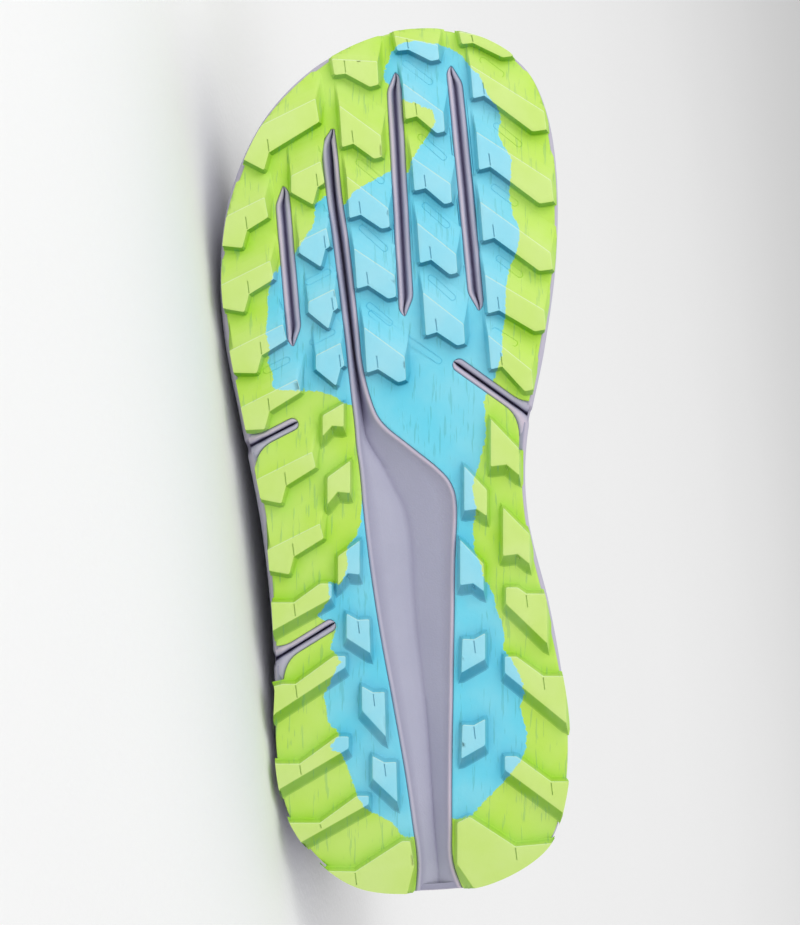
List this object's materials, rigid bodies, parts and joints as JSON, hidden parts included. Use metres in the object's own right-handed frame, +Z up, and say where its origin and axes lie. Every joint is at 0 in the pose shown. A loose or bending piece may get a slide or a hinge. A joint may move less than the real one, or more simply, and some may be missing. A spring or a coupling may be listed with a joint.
{
  "type": "trail running shoe",
  "caption": "Low-cut trail running shoe for the right foot, with a lugged rubber outsole, foam midsole and hollow fabric upper, lying on its side.",
  "frame": {"origin": "centre of the bottom of the bounding box, on the floor that the shoe lies on", "axes": "+X from the toe towards the heel, +Z up from the floor, which is the shoe's medial side; the tread faces -Y and a little upwards"},
  "size_m": [0.2952, 0.1254, 0.1184],
  "materials": {
    "tread_rubber": "satin moulded rubber in lime green and light blue",
    "foam": "matte moulded foam, lavender grey",
    "insole_fabric": "brushed knit",
    "upper_mesh": "patterned engineered mesh",
    "lining": "padded knit",
    "overlay": "thin welded film",
    "toe_rubber": "satin moulded rubber, lime green",
    "lace": "flat woven cord"
  },
  "bodies": {
    "root": {"outsole": "tread_rubber", "midsole": "foam", "insole": "insole_fabric", "upper": "upper_mesh", "tongue": "lining", "eyestay": "overlay", "heel_counter": "overlay", "toe_cap": "toe_rubber", "lace_1": "lace", "lace_2": "lace", "lace_3": "lace", "lace_4": "lace", "lace_5": "lace", "lace_6": "lace"}
  },
  "joints": []
}
